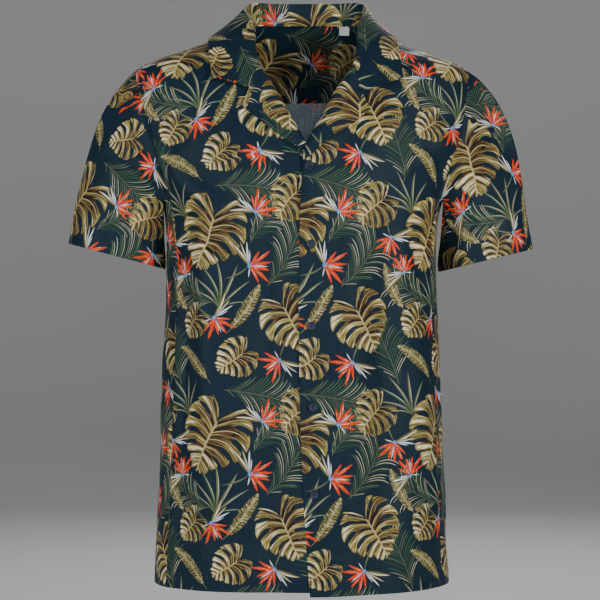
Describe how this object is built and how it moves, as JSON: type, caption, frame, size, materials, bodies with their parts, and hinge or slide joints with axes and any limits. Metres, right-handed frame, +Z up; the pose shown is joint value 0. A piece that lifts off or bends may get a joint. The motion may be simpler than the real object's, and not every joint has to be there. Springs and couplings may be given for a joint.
{
  "type": "hawaiian shirt",
  "caption": "Short-sleeved camp-collar shirt in printed cotton, buttoned and filled out as when it is worn.",
  "frame": {"origin": "middle of the neck base, at the height where the shoulders meet the neck, where a wearer holds the shirt up", "axes": "+Z up along the body, -Y the front with the buttons, +X the wearer's left"},
  "size_m": [0.612, 0.2696, 0.7737],
  "materials": {
    "printed_cotton": "plain-woven cotton with slubs, dark navy with a print of tropical leaves and flowers, matte",
    "facing_cotton": "the same printed cotton, right side out on the reverses, matte",
    "inside_cotton": "the same printed cotton on the inner yoke, matte",
    "button": "dark slate blue polyester, satin",
    "label_tape": "bare white woven tape"
  },
  "bodies": {
    "root": {"front_right": "printed_cotton", "front_left": "printed_cotton", "back": "printed_cotton", "yoke": "printed_cotton", "yoke_inner": "inside_cotton", "sleeve_right": "printed_cotton", "sleeve_left": "printed_cotton", "collar": "printed_cotton", "lapel_right": "facing_cotton", "lapel_left": "facing_cotton", "button_1": "button", "button_2": "button", "button_3": "button", "button_4": "button", "button_5": "button", "size_label": "label_tape"}
  },
  "joints": []
}
